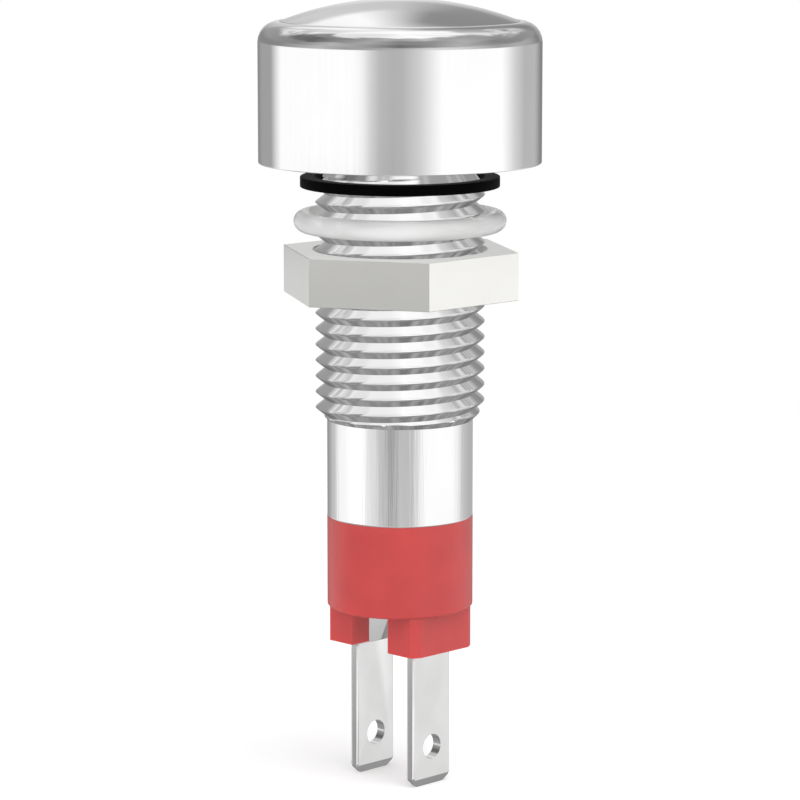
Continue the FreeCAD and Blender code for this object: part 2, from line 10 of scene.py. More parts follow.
import bmesh
import bpy
from bpy.props import FloatProperty, FloatVectorProperty, IntProperty
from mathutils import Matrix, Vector

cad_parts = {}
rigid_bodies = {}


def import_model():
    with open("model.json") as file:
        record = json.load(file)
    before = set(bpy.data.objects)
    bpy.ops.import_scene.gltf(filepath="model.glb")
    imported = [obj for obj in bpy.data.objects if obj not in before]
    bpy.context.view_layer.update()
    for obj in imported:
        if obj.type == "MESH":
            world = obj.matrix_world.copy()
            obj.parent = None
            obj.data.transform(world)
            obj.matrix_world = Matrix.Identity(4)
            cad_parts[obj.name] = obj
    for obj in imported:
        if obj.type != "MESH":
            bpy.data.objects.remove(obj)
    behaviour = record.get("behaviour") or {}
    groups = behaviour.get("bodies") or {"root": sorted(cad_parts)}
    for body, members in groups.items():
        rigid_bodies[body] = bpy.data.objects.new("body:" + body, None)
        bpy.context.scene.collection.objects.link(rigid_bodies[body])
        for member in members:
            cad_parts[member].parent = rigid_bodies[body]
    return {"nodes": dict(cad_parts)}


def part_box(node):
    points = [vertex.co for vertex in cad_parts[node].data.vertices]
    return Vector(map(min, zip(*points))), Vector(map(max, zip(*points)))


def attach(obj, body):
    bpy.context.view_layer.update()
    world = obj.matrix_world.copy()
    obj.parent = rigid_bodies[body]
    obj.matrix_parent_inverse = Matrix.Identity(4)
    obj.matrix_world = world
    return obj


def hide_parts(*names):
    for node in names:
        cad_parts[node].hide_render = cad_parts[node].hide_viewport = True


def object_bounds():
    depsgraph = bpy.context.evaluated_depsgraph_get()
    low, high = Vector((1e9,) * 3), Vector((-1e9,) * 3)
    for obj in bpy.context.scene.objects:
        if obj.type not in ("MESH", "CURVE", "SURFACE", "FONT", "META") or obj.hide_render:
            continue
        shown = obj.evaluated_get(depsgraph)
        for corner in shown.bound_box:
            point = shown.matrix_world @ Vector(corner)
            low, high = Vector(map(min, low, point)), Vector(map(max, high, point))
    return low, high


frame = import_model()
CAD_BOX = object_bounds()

bl_info = {
    "name": "Panel Pilot Light",
    "version": (1, 0, 0),
    "blender": (4, 5, 0),
    "location": "3D View > Sidebar > Pilot Light",
    "description": "Dresses the solids of a panel pilot light and sets up its studio",
    "category": "Add Mesh",
}

FULL_TURN = 2 * math.pi
FLAT_TURN = FULL_TURN / 6
MERGE_DISTANCE = 1e-6
TIP_MERGE_DISTANCE = 5e-5
LONG_EDGE = 0.001
UPRIGHT_SHARE = 0.99
SHARP_ANGLE = math.radians(35)
FOLD_ANGLE = math.radians(15)
FLAT_ANGLE = math.radians(1)
ROUND_STEPS = 6
UPRIGHT_STEPS = 4
EDGE_STEPS = 3
THREAD_GRID_MARGIN = 1
THREAD_EXTRA_ROWS = 2

HOUSING_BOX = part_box("housing")
LENS_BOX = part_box("domed_lens")
GASKET_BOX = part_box("panel_gasket")
RING_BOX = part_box("sealing_o_ring")
NUT_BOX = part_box("hex_nut")


def distance(name, description, default):
    return FloatProperty(name=name, description=description, default=default, unit="LENGTH",
                         subtype="DISTANCE", precision=5, min=-1, max=1)


def colour(name, description, default):
    return FloatVectorProperty(name=name, description=description, default=default, subtype="COLOR",
                               size=3, min=0, max=1)


class LightSizes(bpy.types.PropertyGroup):
    segments: IntProperty(name="Segments", description="Faces round a turned piece", default=144, min=24)
    rows_per_turn: IntProperty(name="Rows per pitch", description="Rows of faces in one pitch",
                               default=16, min=4)
    pitch: distance("Pitch", "Rise of the thread in one turn", 0.00075)
    thread_depth: distance("Thread depth", "Crest to root of the thread", 0.00046)
    thread_radius: distance("Thread radius", "Radius of the thread's crests", 0.004)
    crest_height: distance("Crest height", "Height of a crest where it crosses +X", -0.00008)
    crest_softness: FloatProperty(name="Crest softness", description="Rounding of the crests",
                                  default=0.04, min=0.01, max=1, subtype="FACTOR")
    thread_top: distance("Thread top", "Upper end of the thread, in the head's recess", 0.00035)
    thread_bottom: distance("Thread bottom", "Lower end of the thread's end chamfer", -0.01216)
    relief_radius: distance("Relief radius", "Radius of the neck under the head", 0.00325)
    relief_height: distance("Relief height", "Height at which the thread has run out", -0.00013)
    relief_slope: FloatProperty(name="Relief slope", description="How fast the thread runs out",
                                default=0.75, min=0, max=5)
    barrel_radius: distance("Barrel radius", "Radius of the plain barrel", 0.00346)
    bore_radius: distance("Bore radius", "Radius of the bore through the shank", 0.003)
    cavity_radius: distance("Cavity radius", "Radius of the space round the reflector", 0.00525)
    seat_radius: distance("Seat radius", "Radius of the lens's seat", 0.00593)
    lip_radius: distance("Lip radius", "Opening of the lip rolled over the lens's flange", 0.00562)
    lip_wall: distance("Lip wall", "Thickness of the rolled lip", 0.0004)
    lip_rise: distance("Lip rise", "Top of the rolled lip above the solid's", 0.0001)
    lens_gap: distance("Lens gap", "Gap between the lens and the lip", 0.00002)
    seat_floor: distance("Seat floor", "Height of the step under the lens's seal", 0.00475)
    head_floor: distance("Head floor", "Height of the floor under the reflector", 0.001)
    recess_radius: distance("Recess radius", "Radius of the gasket's recess", 0.00485)
    shoulder: distance("Shoulder", "Rounding of the head's shoulder", 0.00097)
    lip_edge: distance("Lip edge", "Rounding at the seam between the lens and the head", 0.00005)
    rim_edge: distance("Rim edge", "Rounding of the head's lower edge", 0.00004)
    lens_wall: distance("Lens wall", "Thickness of the lens at its centre", 0.0012)
    lens_skirt: distance("Lens skirt", "Width of the ring under the lens at its foot", 0.001)
    lens_skirt_top: distance("Lens skirt top", "Width of the ring under the lens at the lens", 0.0016)
    gasket_bore: distance("Gasket bore", "Inner radius of the gasket", 0.00403)
    gasket_edge: distance("Gasket edge", "Rounding of the gasket", 0.00004)
    nut_corner: FloatProperty(name="Nut corner", description="Direction of one corner of the nut",
                              default=math.radians(28.4), subtype="ANGLE", unit="ROTATION")
    nut_half_width: distance("Nut half width", "Middle of the nut to a flat", 0.005)
    nut_bore: distance("Nut bore", "Radius of the crests in the nut", 0.00366)
    nut_clearance: distance("Nut clearance", "Radial gap between the two threads", 0.00004)
    nut_countersink: distance("Nut countersink", "Radius of the nut's thread at both ends", 0.00414)
    nut_edge: distance("Nut edge", "Chamfer along the nut's outer edges", 0.00002)
    moulding_edge: distance("Moulding edge", "Rounding of the base's edges", 0.00005)
    blade_edge: distance("Blade edge", "Rounding of the stamped blades' edges", 0.00013)


class LightColours(bpy.types.PropertyGroup):
    chrome: colour("Chrome", "Polished chrome of the housing", (0.93, 0.93, 0.93))
    mirror: colour("Mirror", "Mirror coating of the lens", (0.93, 0.93, 0.93))
    nickel: colour("Nickel", "Satin nickel of the nut", (0.75, 0.745, 0.72))
    plating: colour("Plating", "Plating of the blades", (0.77, 0.77, 0.765))
    red: colour("Red", "Red plastic of the base", (0.58, 0.060, 0.058))
    rubber: colour("Rubber", "Black rubber of the gasket", (0.002, 0.002, 0.002))
    silicone: colour("Silicone", "Clear silicone of the sealing ring", (0.99, 0.99, 0.97))


class StudioSizes(bpy.types.PropertyGroup):
    camera_distance: distance("Camera distance", "Light's axis to the camera, along the floor", 0.16363)
    camera_height: distance("Camera height", "Head's underside to the camera", 0.015686)
    camera_tilt: FloatProperty(name="Camera tilt", description="How far the camera looks down",
                               default=0.1635, subtype="ANGLE", unit="ROTATION")
    camera_side: FloatProperty(name="Camera side", description="Direction of the camera from the light",
                               default=math.radians(-45), subtype="ANGLE", unit="ROTATION")
    lens: FloatProperty(name="Lens", description="Focal length on a 36 mm sensor", default=157.34,
                        subtype="DISTANCE_CAMERA", unit="CAMERA")
    floor_radius: distance("Floor radius", "Radius of the floor", 0.12)


class NodeWriter:
    """Adds nodes to a tree, with each input given as a number, a colour or another node's socket."""

    def __init__(self, tree):
        self.tree = tree

    def feed(self, socket, value):
        if isinstance(value, bpy.types.NodeSocket):
            self.tree.links.new(value, socket)
        else:
            socket.default_value = value

    def add(self, kind, inputs=None, **settings):
        node = self.tree.nodes.new(kind)
        for name, value in settings.items():
            setattr(node, name, value)
        for name, value in (inputs or {}).items():
            self.feed(node.inputs[name], value)
        return node

    def math(self, operation, *values):
        node = self.add("ShaderNodeMath", operation=operation)
        for socket, value in zip(node.inputs, values):
            self.feed(socket, value)
        return node.outputs[0]

    def mix(self, factor, first, second):
        node = self.add("ShaderNodeMix", data_type="RGBA")
        self.feed(node.inputs[0], factor)
        self.feed(node.inputs[6], first)
        self.feed(node.inputs[7], second)
        return node.outputs[2]

    def rise(self, value, first, last, start=0.0, end=1.0, curve="LINEAR"):
        """From start to end as a value goes from the first to the last, which may be the lower one."""
        node = self.add("ShaderNodeMapRange", {
            "Value": value, "From Min": first, "From Max": last, "To Min": start, "To Max": end,
        }, interpolation_type=curve)
        return node.outputs["Result"]

    def scaled(self, colour, scale):
        node = self.add("ShaderNodeVectorMath", {0: colour, "Scale": scale}, operation="SCALE")
        return node.outputs[0]

    def ramp(self, factor, stops):
        """Grey levels by position: (position, level) pairs."""
        node = self.add("ShaderNodeValToRGB", {"Fac": factor})
        elements = node.color_ramp.elements
        while len(elements) < len(stops):
            elements.new(0.5)
        for element, (position, level) in zip(elements, stops):
            element.position = position
            element.color = (level, level, level, 1)
        return node.outputs["Color"]


def rounded_path(corners):
    """Points along (radius, height, rounding) corners, with an arc where a rounding is given."""
    points = []
    for number, (across, up, rounding) in enumerate(corners):
        corner = Vector((across, up))
        if not rounding:
            points.append(corner)
            continue
        before = (Vector(corners[number - 1][:2]) - corner).normalized()
        after = (Vector(corners[(number + 1) % len(corners)][:2]) - corner).normalized()
        half_opening = before.angle(after) / 2
        centre = corner + (before + after).normalized() * (rounding / math.sin(half_opening))
        reach = rounding / math.tan(half_opening)
        spoke = corner + before * reach - centre
        last_spoke = corner + after * reach - centre
        start = math.atan2(spoke.y, spoke.x)
        turn = math.atan2(last_spoke.y, last_spoke.x) - start
        turn = (turn + math.pi) % FULL_TURN - math.pi
        for step in range(ROUND_STEPS + 1):
            angle = start + turn * step / ROUND_STEPS
            points.append(centre + Vector((math.cos(angle), math.sin(angle))) * rounding)
    return points


def new_ring(bm, point, angles):
    """A ring of vertices at a radius and height, or a single one on the axis."""
    if abs(point.x) < MERGE_DISTANCE:
        return [bm.verts.new((0, 0, point.y))]
    return [bm.verts.new((point.x * math.cos(a), point.x * math.sin(a), point.y)) for a in angles]


def join_rings(bm, first, second):
    count = max(len(first), len(second))
    for near in range(count):
        far = (near + 1) % count
        corners = (first[near % len(first)], first[far % len(first)],
                   second[far % len(second)], second[near % len(second)])
        bm.faces.new(dict.fromkeys(corners))


def join_all(bm, rings):
    for first, second in zip(rings, rings[1:]):
        join_rings(bm, first, second)


def even_angles(count):
    return [FULL_TURN * number / count for number in range(count)]


def turned_mesh(points, segments, closed=False):
    """A mesh turned about Z from its half section."""
    bm = bmesh.new()
    angles = even_angles(segments)
    rings = [new_ring(bm, point, angles) for point in points]
    join_all(bm, rings)
    if closed:
        join_rings(bm, rings[-1], rings[0])
    return bm


def shade(mesh, sharp_angle):
    for polygon in mesh.polygons:
        polygon.use_smooth = True
    mesh.set_sharp_from_angle(angle=sharp_angle)


def new_object(name, data):
    """An object in the scene with a mesh, camera or lamp as its data."""
    made = bpy.data.objects.new(name, data)
    bpy.context.scene.collection.objects.link(made)
    return made


def mesh_from(bm, name, material):
    mesh = bpy.data.meshes.new(name)
    bm.to_mesh(mesh)
    bm.free()
    mesh.materials.append(material)
    return mesh


def new_piece(bm, name, material, sharp_angle=SHARP_ANGLE):
    """A shown object made of a closed mesh, with its faces turned outwards."""
    bmesh.ops.recalc_face_normals(bm, faces=bm.faces)
    mesh = mesh_from(bm, name, material)
    shade(mesh, sharp_angle)
    return new_object(name, mesh)


def stand_for(piece, node, body):
    """The piece is shown instead of a solid of the frame, and moves with its body."""
    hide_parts(node)
    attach(piece, body)


def bevel_edges(piece, width):
    """Small roundings along a piece's sharp edges, with the flats kept flat, made part of its mesh."""
    bevel = piece.modifiers.new("Edges", "BEVEL")
    bevel.width = width
    bevel.segments = EDGE_STEPS
    bevel.limit_method = "ANGLE"
    bevel.angle_limit = SHARP_ANGLE
    bevel.use_clamp_overlap = True
    bevel.harden_normals = True
    piece.data = baked_mesh(piece)


def even_normals(piece):
    """Shading that keeps the large faces flat beside their roundings, made part of the piece's mesh."""
    normals = piece.modifiers.new("Normals", "WEIGHTED_NORMAL")
    normals.mode = "FACE_AREA"
    normals.keep_sharp = True
    piece.data = baked_mesh(piece)


def baked_mesh(thing):
    """What an object's modifiers make of it, as a mesh of its own. The modifiers are removed."""
    depsgraph = bpy.context.evaluated_depsgraph_get()
    mesh = bpy.data.meshes.new_from_object(thing.evaluated_get(depsgraph))
    thing.modifiers.clear()
    return mesh


def thread_tree(values):
    """Geometry Nodes tree for the helical face of a thread, with an input for each named value."""
    tree = bpy.data.node_groups.new("Thread Face", "GeometryNodeTree")
    face = tree.interface
    kinds = {int: "Int", float: "Float", bool: "Bool", bpy.types.Material: "Material"}
    for name, value in values.items():
        face.new_socket(name, in_out="INPUT", socket_type=f"NodeSocket{kinds[type(value)]}")
    face.new_socket("Geometry", in_out="OUTPUT", socket_type="NodeSocketGeometry")
    write = NodeWriter(tree)
    given = tree.nodes.new("NodeGroupInput").outputs
    turn, height = thread_place(write, given)
    radius = thread_radius_at(write, given, turn, height)
    angle = write.math("ADD", write.math("MULTIPLY", turn, FULL_TURN), given["Start Angle"])
    place = write.add("ShaderNodeCombineXYZ", {
        "X": write.math("MULTIPLY", radius, write.math("COSINE", angle)),
        "Y": write.math("MULTIPLY", radius, write.math("SINE", angle)),
        "Z": height,
    }).outputs[0]
    grid = write.add("GeometryNodeMeshGrid", {
        "Size X": 1.0,
        "Size Y": 1.0,
        "Vertices X": write.math("ADD", given["Segments"], 1),
        "Vertices Y": thread_rows(write, given),
    }).outputs["Mesh"]
    bent = write.add("GeometryNodeSetPosition", {"Geometry": grid, "Position": place}).outputs[0]
    merged = write.add("GeometryNodeMergeByDistance", {"Geometry": bent, "Distance": MERGE_DISTANCE})
    real = write.add("GeometryNodeRealizeInstances", {"Geometry": merged.outputs[0]}).outputs[0]
    dressed = write.add("GeometryNodeSetMaterial", {"Geometry": real, "Material": given["Finish"]})
    write.add("NodeGroupOutput", {"Geometry": dressed.outputs[0]})
    return tree


def thread_first_row(write, given):
    """Height of the lowest row at the start angle: a crest, at least a pitch below the bottom."""
    below = write.math("SUBTRACT", given["Bottom"], given["Crest Height"])
    pitches = write.math("FLOOR", write.math("DIVIDE", below, given["Pitch"]))
    lowered = write.math("SUBTRACT", pitches, THREAD_GRID_MARGIN)
    return write.math("MULTIPLY_ADD", lowered, given["Pitch"], given["Crest Height"])


def thread_rows(write, given):
    span = write.math("SUBTRACT", given["Top"], thread_first_row(write, given))
    rows = write.math("MULTIPLY", write.math("DIVIDE", span, given["Pitch"]), given["Rows per Pitch"])
    return write.math("ADD", write.math("CEIL", rows), THREAD_EXTRA_ROWS)


def start_share(write, given):
    """The start angle as a share of a turn."""
    return write.math("DIVIDE", given["Start Angle"], FULL_TURN)


def thread_place(write, given):
    """Share of a turn and height of each vertex of the grid, with the rows laid along the helix."""
    place = write.add("GeometryNodeInputPosition").outputs[0]
    corner = write.add("ShaderNodeSeparateXYZ", {"Vector": place})
    turn = write.math("ADD", corner.outputs["X"], 0.5)
    share = write.math("ADD", corner.outputs["Y"], 0.5)
    steps = write.math("SUBTRACT", thread_rows(write, given), 1)
    row = write.math("ROUND", write.math("MULTIPLY", share, steps))
    pitches = write.math("ADD", write.math("DIVIDE", row, given["Rows per Pitch"]), turn)
    rise = write.math("MULTIPLY_ADD", pitches, given["Pitch"], thread_first_row(write, given))
    rise = write.math("MULTIPLY_ADD", start_share(write, given), given["Pitch"], rise)
    lifted = write.math("MAXIMUM", rise, given["Bottom"])
    return turn, write.math("MINIMUM", lifted, given["Top"])


def thread_radius_at(write, given, turn, height):
    """Radius of the V-shaped thread at a place, cut by the slope at its end or ends."""
    above = write.math("DIVIDE", write.math("SUBTRACT", height, given["Crest Height"]), given["Pitch"])
    phase = write.math("SUBTRACT", write.math("SUBTRACT", above, turn), start_share(write, given))
    from_crest = write.math("ABSOLUTE", write.math("SUBTRACT", phase, write.math("ROUND", phase)))
    doubled = write.math("MULTIPLY", from_crest, 2.0)
    soft = given["Softness"]
    soft_squared = write.math("MULTIPLY", soft, soft)
    rounded = write.math("SQRT", write.math("MULTIPLY_ADD", doubled, doubled, soft_squared))
    full = write.math("SQRT", write.math("ADD", soft_squared, 1.0))
    fallen = write.math("SUBTRACT", rounded, soft)
    share = write.math("DIVIDE", fallen, write.math("SUBTRACT", full, soft))
    drop = write.math("MULTIPLY", share, given["Depth"])
    vee = write.math("SUBTRACT", write.math("ADD", given["Crest Radius"], given["Clearance"]), drop)
    from_bottom = write.math("SUBTRACT", height, given["Bottom"])
    from_top = write.math("SUBTRACT", given["Top"], height)
    outer = write.math("MINIMUM", vee, write.math("ADD", given["End Radius"], from_bottom))
    under_relief = write.math("MAXIMUM", write.math("SUBTRACT", given["Relief Height"], height), 0.0)
    relief = write.math("MULTIPLY_ADD", under_relief, given["Relief Slope"], given["Relief Radius"])
    outer = write.math("MINIMUM", outer, relief)
    sunk = write.math("SUBTRACT", given["End Radius"], write.math("MINIMUM", from_bottom, from_top))
    inner = write.math("MAXIMUM", write.math("MAXIMUM", vee, given["Least Radius"]), sunk)
    choice = write.add("GeometryNodeSwitch", {"Switch": given["Inner"], "False": outer, "True": inner},
                       input_type="FLOAT")
    return choice.outputs[0]


def thread_mesh(values):
    """The thread's face as a mesh, made by the tree from the named values."""
    tree = bpy.data.node_groups.get("Thread Face") or thread_tree(values)
    carrier = new_object("thread_carrier", bpy.data.meshes.new("thread_carrier"))
    modifier = carrier.modifiers.new("Thread", "NODES")
    modifier.node_group = tree
    for item in tree.interface.items_tree:
        if item.in_out == "INPUT":
            modifier[item.identifier] = values[item.name]
    mesh = baked_mesh(carrier)
    bpy.data.objects.remove(carrier)
    return mesh


def end_rings(bm, segments):
    """The thread's lower and upper boundary, each as vertices in the order of their angle."""
    ends = {v for edge in bm.edges if edge.is_boundary for v in edge.verts}
    middle = sum(v.co.z for v in ends) / len(ends)
    rings = []
    for ring in ([v for v in ends if v.co.z < middle], [v for v in ends if v.co.z >= middle]):
        if len(ring) != segments:
            raise RuntimeError(f"an end of the thread has {len(ring)} vertices, not {segments}")
        rings.append(sorted(ring, key=lambda v: math.atan2(v.co.y, v.co.x)))
    return rings


def thread_values(sizes, finish):
    """What the shank's thread gives to each input of the tree."""
    return {
        "Segments": sizes.segments,
        "Rows per Pitch": sizes.rows_per_turn,
        "Pitch": sizes.pitch,
        "Bottom": sizes.thread_bottom,
        "Top": sizes.thread_top,
        "Crest Radius": sizes.thread_radius,
        "Depth": sizes.thread_depth,
        "Softness": sizes.crest_softness,
        "Crest Height": sizes.crest_height,
        "Start Angle": 0.0,
        "Clearance": 0.0,
        "Least Radius": 0.0,
        "End Radius": sizes.barrel_radius,
        "Relief Radius": sizes.relief_radius,
        "Relief Height": sizes.relief_height,
        "Relief Slope": sizes.relief_slope,
        "Inner": False,
        "Finish": finish,
    }


class PILOT_OT_housing(bpy.types.Operator):
    """Head, threaded shank and barrel, turned as one piece"""

    bl_idname = "pilot.housing"
    bl_label = "Housing"

    def execute(self, context):
        sizes = context.scene.pilot_sizes
        finish = metal_finish("Polished Chrome", context.scene.pilot_colours.chrome, CHROME_MARKS)
        bm = bmesh.new()
        bm.from_mesh(thread_mesh(thread_values(sizes, finish)))
        lower, upper = end_rings(bm, sizes.segments)
        angles = [math.atan2(v.co.y, v.co.x) for v in lower]
        head_radius, head_top = HOUSING_BOX[1].x, HOUSING_BOX[1].z + sizes.lip_rise
        barrel_end = HOUSING_BOX[0].z
        corners = [
            (sizes.barrel_radius, sizes.thread_bottom, 0),
            (sizes.barrel_radius, barrel_end, sizes.lip_edge),
            (sizes.bore_radius, barrel_end, sizes.lip_edge),
            (sizes.bore_radius, sizes.head_floor, 0),
            (sizes.cavity_radius, sizes.head_floor, 0),
            (sizes.cavity_radius, sizes.seat_floor, 0),
            (sizes.seat_radius, sizes.seat_floor, 0),
            (sizes.seat_radius, head_top - sizes.lip_wall, 0),
            (sizes.lip_radius, head_top - sizes.lip_wall, 0),
            (sizes.lip_radius, head_top, sizes.lip_edge),
            (head_radius, head_top, sizes.shoulder),
            (head_radius, 0, sizes.rim_edge),
            (sizes.recess_radius, 0, sizes.lip_edge),
            (sizes.recess_radius, sizes.thread_top, 0),
        ]
        # The thread's lower end already stands at the first corner.
        turned = [new_ring(bm, point, angles) for point in rounded_path(corners)[1:]]
        join_all(bm, [lower, *turned, upper])
        piece = new_piece(bm, "turned_housing", finish)
        even_normals(piece)
        stand_for(piece, "housing", "housing")
        return {"FINISHED"}


class PILOT_OT_lens(bpy.types.Operator):
    """Mirror-coated lens with a shallow dome"""

    bl_idname = "pilot.lens"
    bl_label = "Lens"

    def execute(self, context):
        sizes = context.scene.pilot_sizes
        flange, top, foot = LENS_BOX[1].x, LENS_BOX[1].z, LENS_BOX[0].z
        radius = sizes.lip_radius - sizes.lens_gap
        rim = HOUSING_BOX[1].z + sizes.lip_rise
        flange_top = rim - sizes.lip_wall - sizes.lens_gap
        rise = top - rim
        dome_radius = (radius * radius + rise * rise) / (2 * rise)
        half_angle = math.asin(radius / dome_radius)
        edge = sizes.lip_edge
        steps = sizes.segments // 4
        dome = [Vector((dome_radius * math.sin(half_angle * step / steps),
                        top - dome_radius * (1 - math.cos(half_angle * step / steps))))
                for step in range(steps)]
        dome = [point for point in dome if point.x < radius - edge]
        skirt = rounded_path([
            (dome[-1].x, dome[-1].y, 0),
            (radius, rim, edge),
            (radius, flange_top, 0),
            (flange, flange_top, 0),
            (flange, foot, 0),
            (flange - sizes.lens_skirt, foot, 0),
            (flange - sizes.lens_skirt_top, top - sizes.lens_wall, 0),
            (0, top - sizes.lens_wall, 0),
        ])
        bm = turned_mesh(dome + skirt[1:], sizes.segments)
        finish = metal_finish("Mirror Coating", context.scene.pilot_colours.mirror, MIRROR_MARKS)
        lens = new_piece(bm, "lens_dome", finish)
        even_normals(lens)
        stand_for(lens, "domed_lens", "housing")
        return {"FINISHED"}


class PILOT_OT_rings(bpy.types.Operator):
    """Black gasket under the head, and the clear sealing ring on the thread"""

    bl_idname = "pilot.rings"
    bl_label = "Gasket and Sealing Ring"

    def execute(self, context):
        sizes, colours = context.scene.pilot_sizes, context.scene.pilot_colours
        outer, low, high = GASKET_BOX[1].x, GASKET_BOX[0].z, GASKET_BOX[1].z
        edge = sizes.gasket_edge
        section = rounded_path([
            (sizes.gasket_bore, low, edge / 2),
            (outer, low, edge),
            (outer, high, edge),
            (sizes.gasket_bore, high, edge / 2),
        ])
        gasket = new_piece(turned_mesh(section, sizes.segments, closed=True), "gasket_ring",
                           moulded_finish("Black Rubber", colours.rubber, *RUBBER))
        even_normals(gasket)
        stand_for(gasket, "panel_gasket", "housing")
        cord = (RING_BOX[1].z - RING_BOX[0].z) / 2
        middle = Vector((RING_BOX[1].x - cord, (RING_BOX[1].z + RING_BOX[0].z) / 2))
        section = [middle + Vector((math.cos(a), math.sin(a))) * cord
                   for a in even_angles(sizes.segments // 4)]
        ring = new_piece(turned_mesh(section, sizes.segments, closed=True), "clear_seal_ring",
                         moulded_finish("Clear Silicone", colours.silicone, *SILICONE))
        stand_for(ring, "sealing_o_ring", "ring")
        return {"FINISHED"}


class PILOT_OT_nut(bpy.types.Operator):
    """Hexagonal nut with its own thread"""

    bl_idname = "pilot.nut"
    bl_label = "Nut"

    def execute(self, context):
        sizes = context.scene.pilot_sizes
        finish = metal_finish("Satin Nickel", context.scene.pilot_colours.nickel, NICKEL_MARKS)
        low, high = NUT_BOX[0].z, NUT_BOX[1].z
        values = thread_values(sizes, finish)
        values.update({
            "Bottom": low,
            "Top": high,
            "Start Angle": sizes.nut_corner,
            "Clearance": sizes.nut_clearance,
            "Least Radius": sizes.nut_bore,
            "End Radius": sizes.nut_countersink,
            "Inner": True,
        })
        bm = bmesh.new()
        bm.from_mesh(thread_mesh(values))
        lower, upper = end_rings(bm, sizes.segments)
        rings = [lower]
        for height, edge in ((low, sizes.nut_edge), (low + sizes.nut_edge, 0),
                             (high - sizes.nut_edge, 0), (high, sizes.nut_edge)):
            reach = sizes.nut_half_width - edge
            rings.append([self.corner_vertex(bm, inner, sizes.nut_corner, reach, height)
                          for inner in lower])
        join_all(bm, [*rings, upper])
        nut = new_piece(bm, "hexagon_nut", finish)
        even_normals(nut)
        stand_for(nut, "hex_nut", "nut")
        return {"FINISHED"}

    @staticmethod
    def corner_vertex(bm, inner, corner, half_width, height):
        """A vertex on the hexagon, in the direction of one on the thread."""
        angle = math.atan2(inner.co.y, inner.co.x)
        from_flat = (angle - corner) % FLAT_TURN - FLAT_TURN / 2
        radius = half_width / math.cos(from_flat)
        return bm.verts.new((radius * math.cos(angle), radius * math.sin(angle), height))


def dressed_copy(node, name, material, edge, merge_distance=MERGE_DISTANCE, upright_edge=0):
    """A copy of a solid with its flats whole again and its edges rounded, the long upright ones more."""
    bm = bmesh.new()
    bm.from_mesh(frame["nodes"][node].data)
    bmesh.ops.remove_doubles(bm, verts=bm.verts, dist=merge_distance)
    bmesh.ops.dissolve_limit(bm, angle_limit=FLAT_ANGLE, verts=bm.verts, edges=bm.edges)
    if upright_edge:
        uprights = [side for side in bm.edges if is_long_upright(side)]
        bmesh.ops.bevel(bm, geom=uprights, offset=upright_edge, segments=UPRIGHT_STEPS, profile=0.5,
                        affect="EDGES")
    piece = new_piece(bm, name, material, FOLD_ANGLE)
    bevel_edges(piece, edge)
    return piece


def is_long_upright(side):
    """Whether an edge is a long sharp one that runs up the piece."""
    run = side.verts[1].co - side.verts[0].co
    upright = abs(run.z) > UPRIGHT_SHARE * run.length and run.length > LONG_EDGE
    return upright and side.calc_face_angle(0) > SHARP_ANGLE


class PILOT_OT_base(bpy.types.Operator):
    """Red base with its two blocks"""

    bl_idname = "pilot.base"
    bl_label = "Base"

    def execute(self, context):
        finish = moulded_finish("Red Plastic", context.scene.pilot_colours.red, *RED_PLASTIC)
        edge = context.scene.pilot_sizes.moulding_edge
        piece = dressed_copy("terminal_base", "moulded_base", finish, edge)
        stand_for(piece, "terminal_base", "housing")
        return {"FINISHED"}


class PILOT_OT_terminals(bpy.types.Operator):
    """The two stamped blade terminals"""

    bl_idname = "pilot.terminals"
    bl_label = "Terminals"

    def execute(self, context):
        sizes = context.scene.pilot_sizes
        finish = metal_finish("Plated Blade", context.scene.pilot_colours.plating, BLADE_MARKS)
        for pole in ("positive", "negative"):
            node = f"terminal_{pole}"
            piece = dressed_copy(node, f"blade_{pole}", finish, sizes.moulding_edge,
                                 TIP_MERGE_DISTANCE, sizes.blade_edge)
            stand_for(piece, node, "housing")
        return {"FINISHED"}


class PILOT_OT_inner_parts(bpy.types.Operator):
    """Finishes of the pieces that are closed in: lamp, reflector, board and what is on it"""

    bl_idname = "pilot.inner_parts"
    bl_label = "Inner Parts"

    def execute(self, context):
        for node, (name, make, *values) in INNER_FINISHES.items():
            finish = bpy.data.materials.get(name) or make(name, *values)
            for slot in frame["nodes"][node].material_slots:
                slot.material = finish
        return {"FINISHED"}


def pattern_group(name, outputs, build):
    """A shader node group with Scale and Stretch inputs, made once, whose outputs come from build."""
    tree = bpy.data.node_groups.get(name)
    if tree:
        return tree
    tree = bpy.data.node_groups.new(name, "ShaderNodeTree")
    face = tree.interface
    face.new_socket("Scale", in_out="INPUT", socket_type="NodeSocketFloat")
    face.new_socket("Stretch", in_out="INPUT", socket_type="NodeSocketVector")
    for output in outputs:
        face.new_socket(output, in_out="OUTPUT", socket_type="NodeSocketFloat")
    write = NodeWriter(tree)
    given = tree.nodes.new("NodeGroupInput").outputs
    place = write.add("ShaderNodeTexCoord").outputs["Object"]
    stretched = write.add("ShaderNodeVectorMath", {0: place, 1: given["Stretch"]}, operation="MULTIPLY")
    made = build(write, stretched.outputs[0], given["Scale"])
    write.add("NodeGroupOutput", dict(zip(outputs, made)))
    return tree


def noise(write, place, scale, detail=2.0, roughness=0.5):
    return write.add("ShaderNodeTexNoise", {
        "Vector": place, "Scale": scale, "Detail": detail, "Roughness": roughness,
    }).outputs["Fac"]


def tool_marks(write, place, scale):
    """Fine lines left by a tool, and the faint haze of handling."""
    lines = noise(write, place, scale, detail=3.0, roughness=0.6)
    haze = noise(write, write.add("ShaderNodeTexCoord").outputs["Object"], HAZE_SCALE)
    return lines, haze


def moulded_grain(write, place, scale):
    """Fine grain of a mould, and the slow change of tone of a moulding."""
    tone = noise(write, place, write.math("MULTIPLY", scale, TONE_SHARE), detail=1.0)
    return noise(write, place, scale), tone


